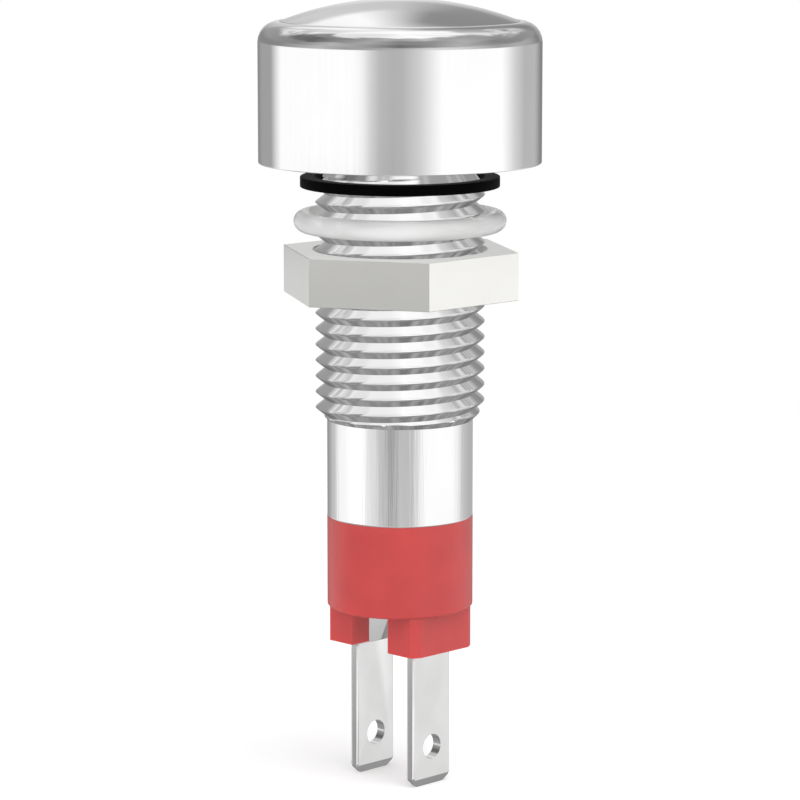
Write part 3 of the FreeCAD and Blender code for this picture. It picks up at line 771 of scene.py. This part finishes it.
def write_anew(owner):
    """A writer for the emptied nodes of a material or a world."""
    owner.use_nodes = True
    owner.node_tree.nodes.clear()
    return NodeWriter(owner.node_tree)


def start_material(name, group_name, outputs, build, scale, stretch):
    """A material with its Principled shader and one pattern group."""
    material = bpy.data.materials.new(name)
    write = write_anew(material)
    shader = write.add("ShaderNodeBsdfPrincipled")
    write.add("ShaderNodeOutputMaterial", {"Surface": shader.outputs[0]})
    group = write.add("ShaderNodeGroup", {"Scale": scale, "Stretch": stretch},
                      node_tree=pattern_group(group_name, outputs, build))
    return material, write, shader, group.outputs


def vary(write, mask, low, high):
    """A value that follows a mask of noise from low to high."""
    return write.rise(mask, *NOISE_RANGE, low, high)


def tones(write, mask, base, change):
    """A colour that follows a mask from a little darker to a little lighter."""
    darker = [channel * (1 - change) for channel in base] + [1]
    lighter = [min(channel * (1 + change), 1) for channel in base] + [1]
    return write.mix(vary(write, mask, 0.0, 1.0), darker, lighter)


def below(write, height):
    """One on the part of a piece that is under a height, and zero above it."""
    place = write.add("ShaderNodeTexCoord").outputs["Object"]
    up = write.add("ShaderNodeSeparateXYZ", {"Vector": place}).outputs["Z"]
    return write.rise(up, height, height + MARKS_FADE, 1.0, 0.0)


def bump(write, height, depth, strength=1.0):
    return write.add("ShaderNodeBump", {
        "Height": height, "Distance": depth, "Strength": strength,
    }).outputs["Normal"]


def metal_finish(name, base, marks):
    """Metal with tool marks, given by their size, direction, tone, roughness and depth."""
    material, write, shader, pattern = start_material(
        name, "Tool Marks", ("Lines", "Haze"), tool_marks, marks["scale"], marks["stretch"])
    shader.inputs["Metallic"].default_value = marks.get("metallic", 1.0)
    write.feed(shader.inputs["Base Color"], tones(write, pattern["Haze"], base, marks["tone"]))
    write.feed(shader.inputs["Roughness"], vary(write, pattern["Lines"], *marks["roughness"]))
    if "depth" in marks:
        strength = below(write, marks["smooth_above"]) if "smooth_above" in marks else 1.0
        write.feed(shader.inputs["Normal"], bump(write, pattern["Lines"], marks["depth"], strength))
    return material


def moulded_finish(name, base, smooth, rough, depth=2e-6, plain=None):
    """Moulded material with a fine grain, and the plain values of its shader that differ."""
    material, write, shader, pattern = start_material(
        name, "Moulded Grain", ("Grain", "Tone"), moulded_grain, GRAIN_SCALE, (1, 1, 1))
    write.feed(shader.inputs["Base Color"], tones(write, pattern["Tone"], base, MOULDED_TONE))
    write.feed(shader.inputs["Roughness"], vary(write, pattern["Grain"], smooth, rough))
    write.feed(shader.inputs["Normal"], bump(write, pattern["Grain"], depth))
    for value_name, value in (plain or {}).items():
        shader.inputs[value_name].default_value = value
    return material


NOISE_RANGE = (0.3, 0.7)
HAZE_SCALE = 420.0
GRAIN_SCALE = 9000.0
TONE_SHARE = 0.06
MOULDED_TONE = 0.05
MARKS_FADE = 1e-4

# Sizes, directions and depths of the marks on each metal. Where both ends of the roughness are the same,
# the finish is even.
CHROME_MARKS = {"scale": 6000.0, "stretch": (1, 1, 0.02), "tone": 0.01, "roughness": (0.05, 0.09),
                "depth": 1.2e-5, "smooth_above": -0.0122}
MIRROR_MARKS = {"scale": 500.0, "stretch": (1, 1, 1), "tone": 0.01, "roughness": (0.07, 0.11),
                "depth": 1e-7}
NICKEL_MARKS = {"scale": 700.0, "stretch": (1, 1, 1), "tone": 0.01, "roughness": (0.16, 0.16),
                "metallic": 0.8}
BLADE_MARKS = {"scale": 800.0, "stretch": (2, 2, 0.3), "tone": 0.05, "roughness": (0.14, 0.14)}
WIRE_MARKS = {"scale": 2500.0, "stretch": (1, 1, 1), "tone": 0.05, "roughness": (0.25, 0.45),
              "depth": 2e-6}

# Both ends of the roughness, the depth of the grain, and what else differs in the shader.
RED_PLASTIC = (0.30, 0.30, 2e-7, {"Subsurface Weight": 0.5, "Subsurface Radius": (1.0, 0.2, 0.2),
                                  "Subsurface Scale": 0.0012})
RUBBER = (0.45, 0.60, 1e-6, {"Specular IOR Level": 0.02})
SILICONE = (0.08, 0.12, 5e-7, {"Transmission Weight": 0.42, "IOR": 1.22})
TINNED_WIRE = ("Tinned Wire", metal_finish, (0.72, 0.72, 0.72), WIRE_MARKS)

INNER_FINISHES = {
    "lens_seal": ("Seal Rubber", moulded_finish, (0.014, 0.014, 0.014), *RUBBER),
    "reflector": ("Bright Reflector", metal_finish, (0.88, 0.88, 0.89), MIRROR_MARKS),
    "led_body": ("Lamp Epoxy", moulded_finish, (0.62, 0.06, 0.05), 0.08, 0.14),
    "led_anode_lead": TINNED_WIRE,
    "led_cathode_lead": TINNED_WIRE,
    "led_collar": ("Black Plastic", moulded_finish, (0.03, 0.03, 0.03), 0.40, 0.55),
    "led_spacer": ("White Plastic", moulded_finish, (0.78, 0.78, 0.76), 0.40, 0.55),
    "circuit_board": ("Board Laminate", moulded_finish, (0.05, 0.22, 0.09), 0.30, 0.45),
    "series_resistor": ("Resistor Coating", moulded_finish, (0.62, 0.52, 0.34), 0.22, 0.34),
    "resistor_leads": TINNED_WIRE,
    "protection_diode": ("Diode Moulding", moulded_finish, (0.035, 0.035, 0.035), 0.45, 0.60),
    "diode_leads": TINNED_WIRE,
    "solder_joints": ("Solder", metal_finish, (0.68, 0.68, 0.69), WIRE_MARKS),
    "insulating_sleeve": ("Sleeve Film", moulded_finish, (0.80, 0.80, 0.77), 0.30, 0.45),
}

# Grey levels of the panels round the light, by the angle from the camera's side: 0 is towards the camera
# and 90 is on its right.
FLOOR_LEVELS = [(-180, 0.33), (-90, 0.26), (0, 0.34), (90, 0.26), (180, 0.33)]
BLADE_LEVELS = [
    (-180, 0.20), (-155, 0.28), (-145, 0.90), (-112, 0.90), (-98, 0.36), (-88, 0.34), (-64, 0.30),
    (-44, 0.80), (-20, 1.20), (30, 1.10), (60, 0.90), (80, 0.90), (100, 1.0), (130, 0.98),
    (146, 0.50), (160, 0.22), (180, 0.20),
]
BARREL_LEVELS = [
    (-180, 0.32), (-152, 0.32), (-136, 0.55), (-124, 0.58), (-114, 1.0), (-100, 1.0), (-84, 1.14),
    (-60, 1.14), (-52, 0.84), (-38, 0.75), (-30, 0.56), (-22, 0.54), (-16, 0.35), (-9, 0.42),
    (-2, 0.57), (16, 0.52), (24, 0.70), (40, 1.06), (92, 1.06), (106, 0.88), (118, 0.57),
    (144, 0.46), (180, 0.46),
]
NUT_LEVELS = [
    (-180, 0.70), (-165, 0.80), (-140, 0.80), (-115, 0.45), (-60, 0.09), (-10, 0.09), (20, 0.55),
    (50, 1.35), (70, 1.55), (105, 1.55), (130, 0.80), (180, 0.70),
]
SIDE_LEVELS = [
    (-180, 0.27), (-160, 0.28), (-150, 0.36), (-128, 0.37), (-112, 1.06), (-38, 1.08), (-31, 1.0),
    (-24, 0.72), (-16, 0.52), (-6, 0.47), (2, 0.49), (16, 0.67), (34, 1.08), (90, 1.08),
    (106, 0.68), (120, 0.49), (140, 0.50), (158, 0.24), (180, 0.27),
]
LOW_LEVELS = [
    (-180, 0.85), (-174, 0.55), (-163, 0.25), (-115, 0.25), (-70, 0.50), (-45, 0.35), (0, 0.45),
    (25, 0.72), (45, 0.72), (85, 0.36), (110, 0.44), (130, 0.38), (150, 0.22), (170, 0.45),
    (175, 0.50), (180, 0.85),
]
RAISED_LEVELS = [
    (-180, 0.58), (-172, 0.65), (-160, 0.35), (-95, 0.25), (-60, 0.48), (-30, 0.35), (0, 0.16),
    (20, 0.25), (50, 0.46), (88, 0.24), (150, 0.32), (164, 0.24), (175, 0.30), (180, 0.58),
]
HIGH_LEVELS = [
    (-180, 0.62), (-174, 1.05), (-164, 0.90), (-156, 0.65), (-138, 0.80), (-126, 0.55), (-114, 0.18),
    (-85, 0.13), (-30, 0.42), (0, 0.24), (30, 0.30), (60, 0.45), (100, 0.28), (122, 0.42),
    (134, 0.62), (156, 0.55), (165, 0.26), (176, 0.28), (180, 0.62),
]
UPPER_LEVELS = [
    (-180, 0.90), (-158, 0.85), (-146, 0.70), (-124, 0.85), (-112, 0.28), (-60, 0.24), (-15, 0.45),
    (0, 0.38), (28, 0.58), (50, 0.38), (100, 0.36), (112, 0.80), (124, 0.78), (134, 0.58),
    (146, 0.46), (158, 0.40), (172, 0.60), (180, 0.90),
]
ZENITH_LEVELS = [
    (-180, 1.08), (-140, 1.0), (-85, 0.78), (-20, 0.95), (30, 1.08), (80, 0.92), (105, 1.05),
    (150, 1.05), (180, 1.08),
]

# The height where each band starts to show, the height from which it shows in full, and its levels.
PANEL_BANDS = (
    (-0.70, -0.45, BLADE_LEVELS),
    (-0.24, -0.205, BARREL_LEVELS),
    (-0.155, -0.145, NUT_LEVELS),
    (-0.122, -0.110, SIDE_LEVELS),
    (-0.05, 0.0, LOW_LEVELS),
    (0.12, 0.28, RAISED_LEVELS),
    (0.42, 0.55, HIGH_LEVELS),
    (0.66, 0.78, UPPER_LEVELS),
    (0.86, 0.93, ZENITH_LEVELS),
)

# The panels above the light are a little crooked. Those under it and high at its far sides have patches.
CROOKED_SCALE = 2.2
CROOKED_HEIGHTS = (0.0, 0.3)
CROOKED_AMOUNT = 0.35
PATCH_SCALE = 11.0
PATCH_ROUGHNESS = 0.6
PATCH_CONTRAST = 0.5
PATCH_SIDE = (math.radians(104), math.radians(114))
PATCH_SIDE_END = (math.radians(164), math.radians(155))
PATCH_HEIGHT = (0.4, 0.6)
PATCH_HEIGHT_END = (0.84, 0.70)
PATCH_UNDERSIDE = (-0.2, -0.4)

WHITE = (1.0, 1.0, 1.0, 1.0)
SURROUNDINGS_GREY = (0.70, 0.70, 0.71, 1)
FLOOR_GREY = (0.80, 0.80, 0.80, 1)
FLOOR_GLOW = 0.25
FLOOR_FADE = (0.25, 0.95)
FLOOR_SEGMENTS = 96
SENSOR_WIDTH = 36
CLIP_RANGE = (0.001, 10)
LAMP_DISTANCE = 0.5

# Each lamp's direction in the camera's view (right, towards the camera, up), its size and its power.
LAMPS = {
    "key_lamp": ((0.5, 0.6, 1.6), 0.45, 1.25),
    "fill_lamp": ((-0.8, 0.8, 1.0), 0.45, 0.6),
    "front_lamp": ((0.0, 1.0, 0.05), 0.2, 0.2),
}


def by_side(levels):
    """Stops given by the angle from the camera's side, as positions on a ramp."""
    return [((angle + 180) / 360, level) for angle, level in levels]


def uneven_height(write, direction, height):
    """The height of a direction, with the panels above the light made a little crooked."""
    amount = write.rise(height, *CROOKED_HEIGHTS, 0.0, CROOKED_AMOUNT)
    wave = write.math("SUBTRACT", noise(write, direction, CROOKED_SCALE), 0.5)
    return write.math("MULTIPLY_ADD", wave, amount, height)


def dapple(write, direction, angle, height):
    """Lighter and darker patches of the panels under the light, and of those high up at its far sides."""
    mask = noise(write, direction, PATCH_SCALE, roughness=PATCH_ROUGHNESS)
    patches = vary(write, mask, -PATCH_CONTRAST, PATCH_CONTRAST)
    turned_away = write.math("ABSOLUTE", angle)
    far_side = write.math("MULTIPLY", write.rise(turned_away, *PATCH_SIDE),
                          write.rise(turned_away, *PATCH_SIDE_END))
    overhead = write.math("MULTIPLY", write.rise(height, *PATCH_HEIGHT),
                          write.rise(height, *PATCH_HEIGHT_END))
    where = write.math("MULTIPLY_ADD", far_side, overhead, write.rise(height, *PATCH_UNDERSIDE))
    return write.math("MULTIPLY_ADD", patches, where, 1.0)


def studio_world(side):
    """White surroundings, with grey panels round the light that only reflections show."""
    world = bpy.data.worlds.new("Studio")
    write = write_anew(world)
    direction = write.add("ShaderNodeTexCoord").outputs["Generated"]
    turned = write.add("ShaderNodeVectorRotate", {"Vector": direction, "Angle": -side},
                       rotation_type="Z_AXIS")
    part = write.add("ShaderNodeSeparateXYZ", {"Vector": turned.outputs[0]}).outputs
    angle = write.math("ARCTAN2", part["Y"], part["X"])
    position = write.math("ADD", write.math("DIVIDE", angle, FULL_TURN), 0.5)
    panels = write.ramp(position, by_side(FLOOR_LEVELS))
    height = uneven_height(write, direction, part["Z"])
    for low, high, levels in PANEL_BANDS:
        shown_share = write.rise(height, low, high, curve="SMOOTHSTEP")
        panels = write.mix(shown_share, panels, write.ramp(position, by_side(levels)))
    panels = write.scaled(panels, dapple(write, direction, angle, part["Z"]))
    path = write.add("ShaderNodeLightPath").outputs
    shown = write.mix(path["Is Glossy Ray"], SURROUNDINGS_GREY, panels)
    seen = write.math("MAXIMUM", path["Is Camera Ray"], path["Is Transmission Ray"])
    shown = write.mix(seen, shown, WHITE)
    background = write.add("ShaderNodeBackground", {"Color": shown, "Strength": 1.0})
    write.add("ShaderNodeOutputWorld", {"Surface": background.outputs[0]})
    return world


def floor_finish(radius):
    """Pale floor that keeps the light's shadow and fades into the white surroundings."""
    material = bpy.data.materials.new("Studio Floor")
    write = write_anew(material)
    place = write.add("ShaderNodeTexCoord").outputs["Object"]
    flat = write.add("ShaderNodeVectorMath", {0: place, 1: (1, 1, 0)}, operation="MULTIPLY").outputs[0]
    reach = write.add("ShaderNodeVectorMath", {0: flat}, operation="LENGTH").outputs["Value"]
    start, end = (radius * share for share in FLOOR_FADE)
    fade = write.rise(reach, start, end, curve="SMOOTHSTEP")
    path = write.add("ShaderNodeLightPath").outputs
    mirrored = write.math("MAXIMUM", path["Is Glossy Ray"], path["Is Transmission Ray"])
    clear = write.add("ShaderNodeBsdfTransparent").outputs[0]
    matt = write.add("ShaderNodeBsdfDiffuse", {"Color": FLOOR_GREY}).outputs[0]
    strength = write.math("MULTIPLY", path["Is Camera Ray"], FLOOR_GLOW)
    glow = write.add("ShaderNodeEmission", {"Color": WHITE, "Strength": strength}).outputs[0]
    pale = write.add("ShaderNodeAddShader", {0: matt, 1: glow}).outputs[0]
    through = write.math("MAXIMUM", fade, mirrored)
    mixed = write.add("ShaderNodeMixShader", {0: through, 1: pale, 2: clear}).outputs[0]
    write.add("ShaderNodeOutputMaterial", {"Surface": mixed})
    return material


def aim(thing, place, gaze):
    """Put a camera or lamp in its place, looking along a direction."""
    thing.location = place
    thing.rotation_mode = "QUATERNION"
    thing.rotation_quaternion = gaze.to_track_quat("-Z", "Y")


class PILOT_OT_studio(bpy.types.Operator):
    """Camera, floor, lamps and surroundings"""

    bl_idname = "pilot.studio"
    bl_label = "Studio"

    def execute(self, context):
        studio = context.scene.pilot_studio
        context.scene.view_settings.view_transform = "Standard"
        context.scene.world = studio_world(studio.camera_side)
        self.add_camera(context, studio)
        self.add_floor(studio)
        for name, (direction, size, power) in LAMPS.items():
            self.add_lamp(name, studio.camera_side, direction, size, power)
        return {"FINISHED"}

    def add_camera(self, context, studio):
        data = bpy.data.cameras.new("photo_camera")
        data.lens = studio.lens
        data.sensor_width = SENSOR_WIDTH
        data.clip_start, data.clip_end = CLIP_RANGE
        camera = new_object("photo_camera", data)
        side, tilt = studio.camera_side, studio.camera_tilt
        outwards = Vector((math.cos(side), math.sin(side), 0))
        place = outwards * studio.camera_distance + Vector((0, 0, studio.camera_height))
        aim(camera, place, -outwards * math.cos(tilt) - Vector((0, 0, math.sin(tilt))))
        context.scene.camera = camera

    def add_floor(self, studio):
        bm = bmesh.new()
        bmesh.ops.create_circle(bm, cap_ends=True, radius=studio.floor_radius, segments=FLOOR_SEGMENTS)
        floor = new_object("floor", mesh_from(bm, "floor", floor_finish(studio.floor_radius)))
        floor.location.z = CAD_BOX[0].z

    def add_lamp(self, name, side, direction, size, power):
        """A soft round lamp that faces the pilot light."""
        right, towards, up = direction
        facing = Vector((math.cos(side), math.sin(side), 0))
        across = Vector((-facing.y, facing.x, 0))
        offset = (across * right + facing * towards + Vector((0, 0, up))).normalized() * LAMP_DISTANCE
        data = bpy.data.lights.new(name, "AREA")
        data.shape = "DISK"
        data.size = size
        data.energy = power
        lamp = new_object(name, data)
        aim(lamp, offset, -offset)
        lamp.visible_glossy = False


class PILOT_PT_sidebar(bpy.types.Panel):
    """Sizes and colours of the pilot light, and a button for each group of pieces"""

    bl_idname = "PILOT_PT_sidebar"
    bl_label = "Pilot Light"
    bl_space_type = "VIEW_3D"
    bl_region_type = "UI"
    bl_category = "Pilot Light"

    def draw(self, context):
        for group_name in GROUPS:
            group = getattr(context.scene, group_name)
            box = self.layout.box()
            for name in group.bl_rna.properties.keys():
                if name not in ("rna_type", "name"):
                    box.prop(group, name)
        for step in STEPS:
            self.layout.operator(step.bl_idname)


STEPS = (PILOT_OT_studio, PILOT_OT_housing, PILOT_OT_lens, PILOT_OT_rings, PILOT_OT_nut, PILOT_OT_base,
         PILOT_OT_terminals, PILOT_OT_inner_parts)
GROUPS = {"pilot_sizes": LightSizes, "pilot_colours": LightColours, "pilot_studio": StudioSizes}


def register():
    for part in (*GROUPS.values(), *STEPS, PILOT_PT_sidebar):
        bpy.utils.register_class(part)
    for name, group in GROUPS.items():
        setattr(bpy.types.Scene, name, bpy.props.PointerProperty(type=group))


def unregister():
    for name in GROUPS:
        delattr(bpy.types.Scene, name)
    for part in (PILOT_PT_sidebar, *reversed(STEPS), *reversed(GROUPS.values())):
        bpy.utils.unregister_class(part)


def keep_out_of_mirrors():
    """The chrome shows its surroundings only, as in the picture, and not the thread's own flanks."""
    for thing in bpy.context.scene.objects:
        if thing.type == "MESH":
            thing.visible_glossy = False


def main():
    register()
    bpy.ops.pilot.studio()
    bpy.ops.pilot.housing()
    bpy.ops.pilot.lens()
    bpy.ops.pilot.rings()
    bpy.ops.pilot.nut()
    bpy.ops.pilot.base()
    bpy.ops.pilot.terminals()
    bpy.ops.pilot.inner_parts()
    keep_out_of_mirrors()


if __name__ == "__main__":
    main()
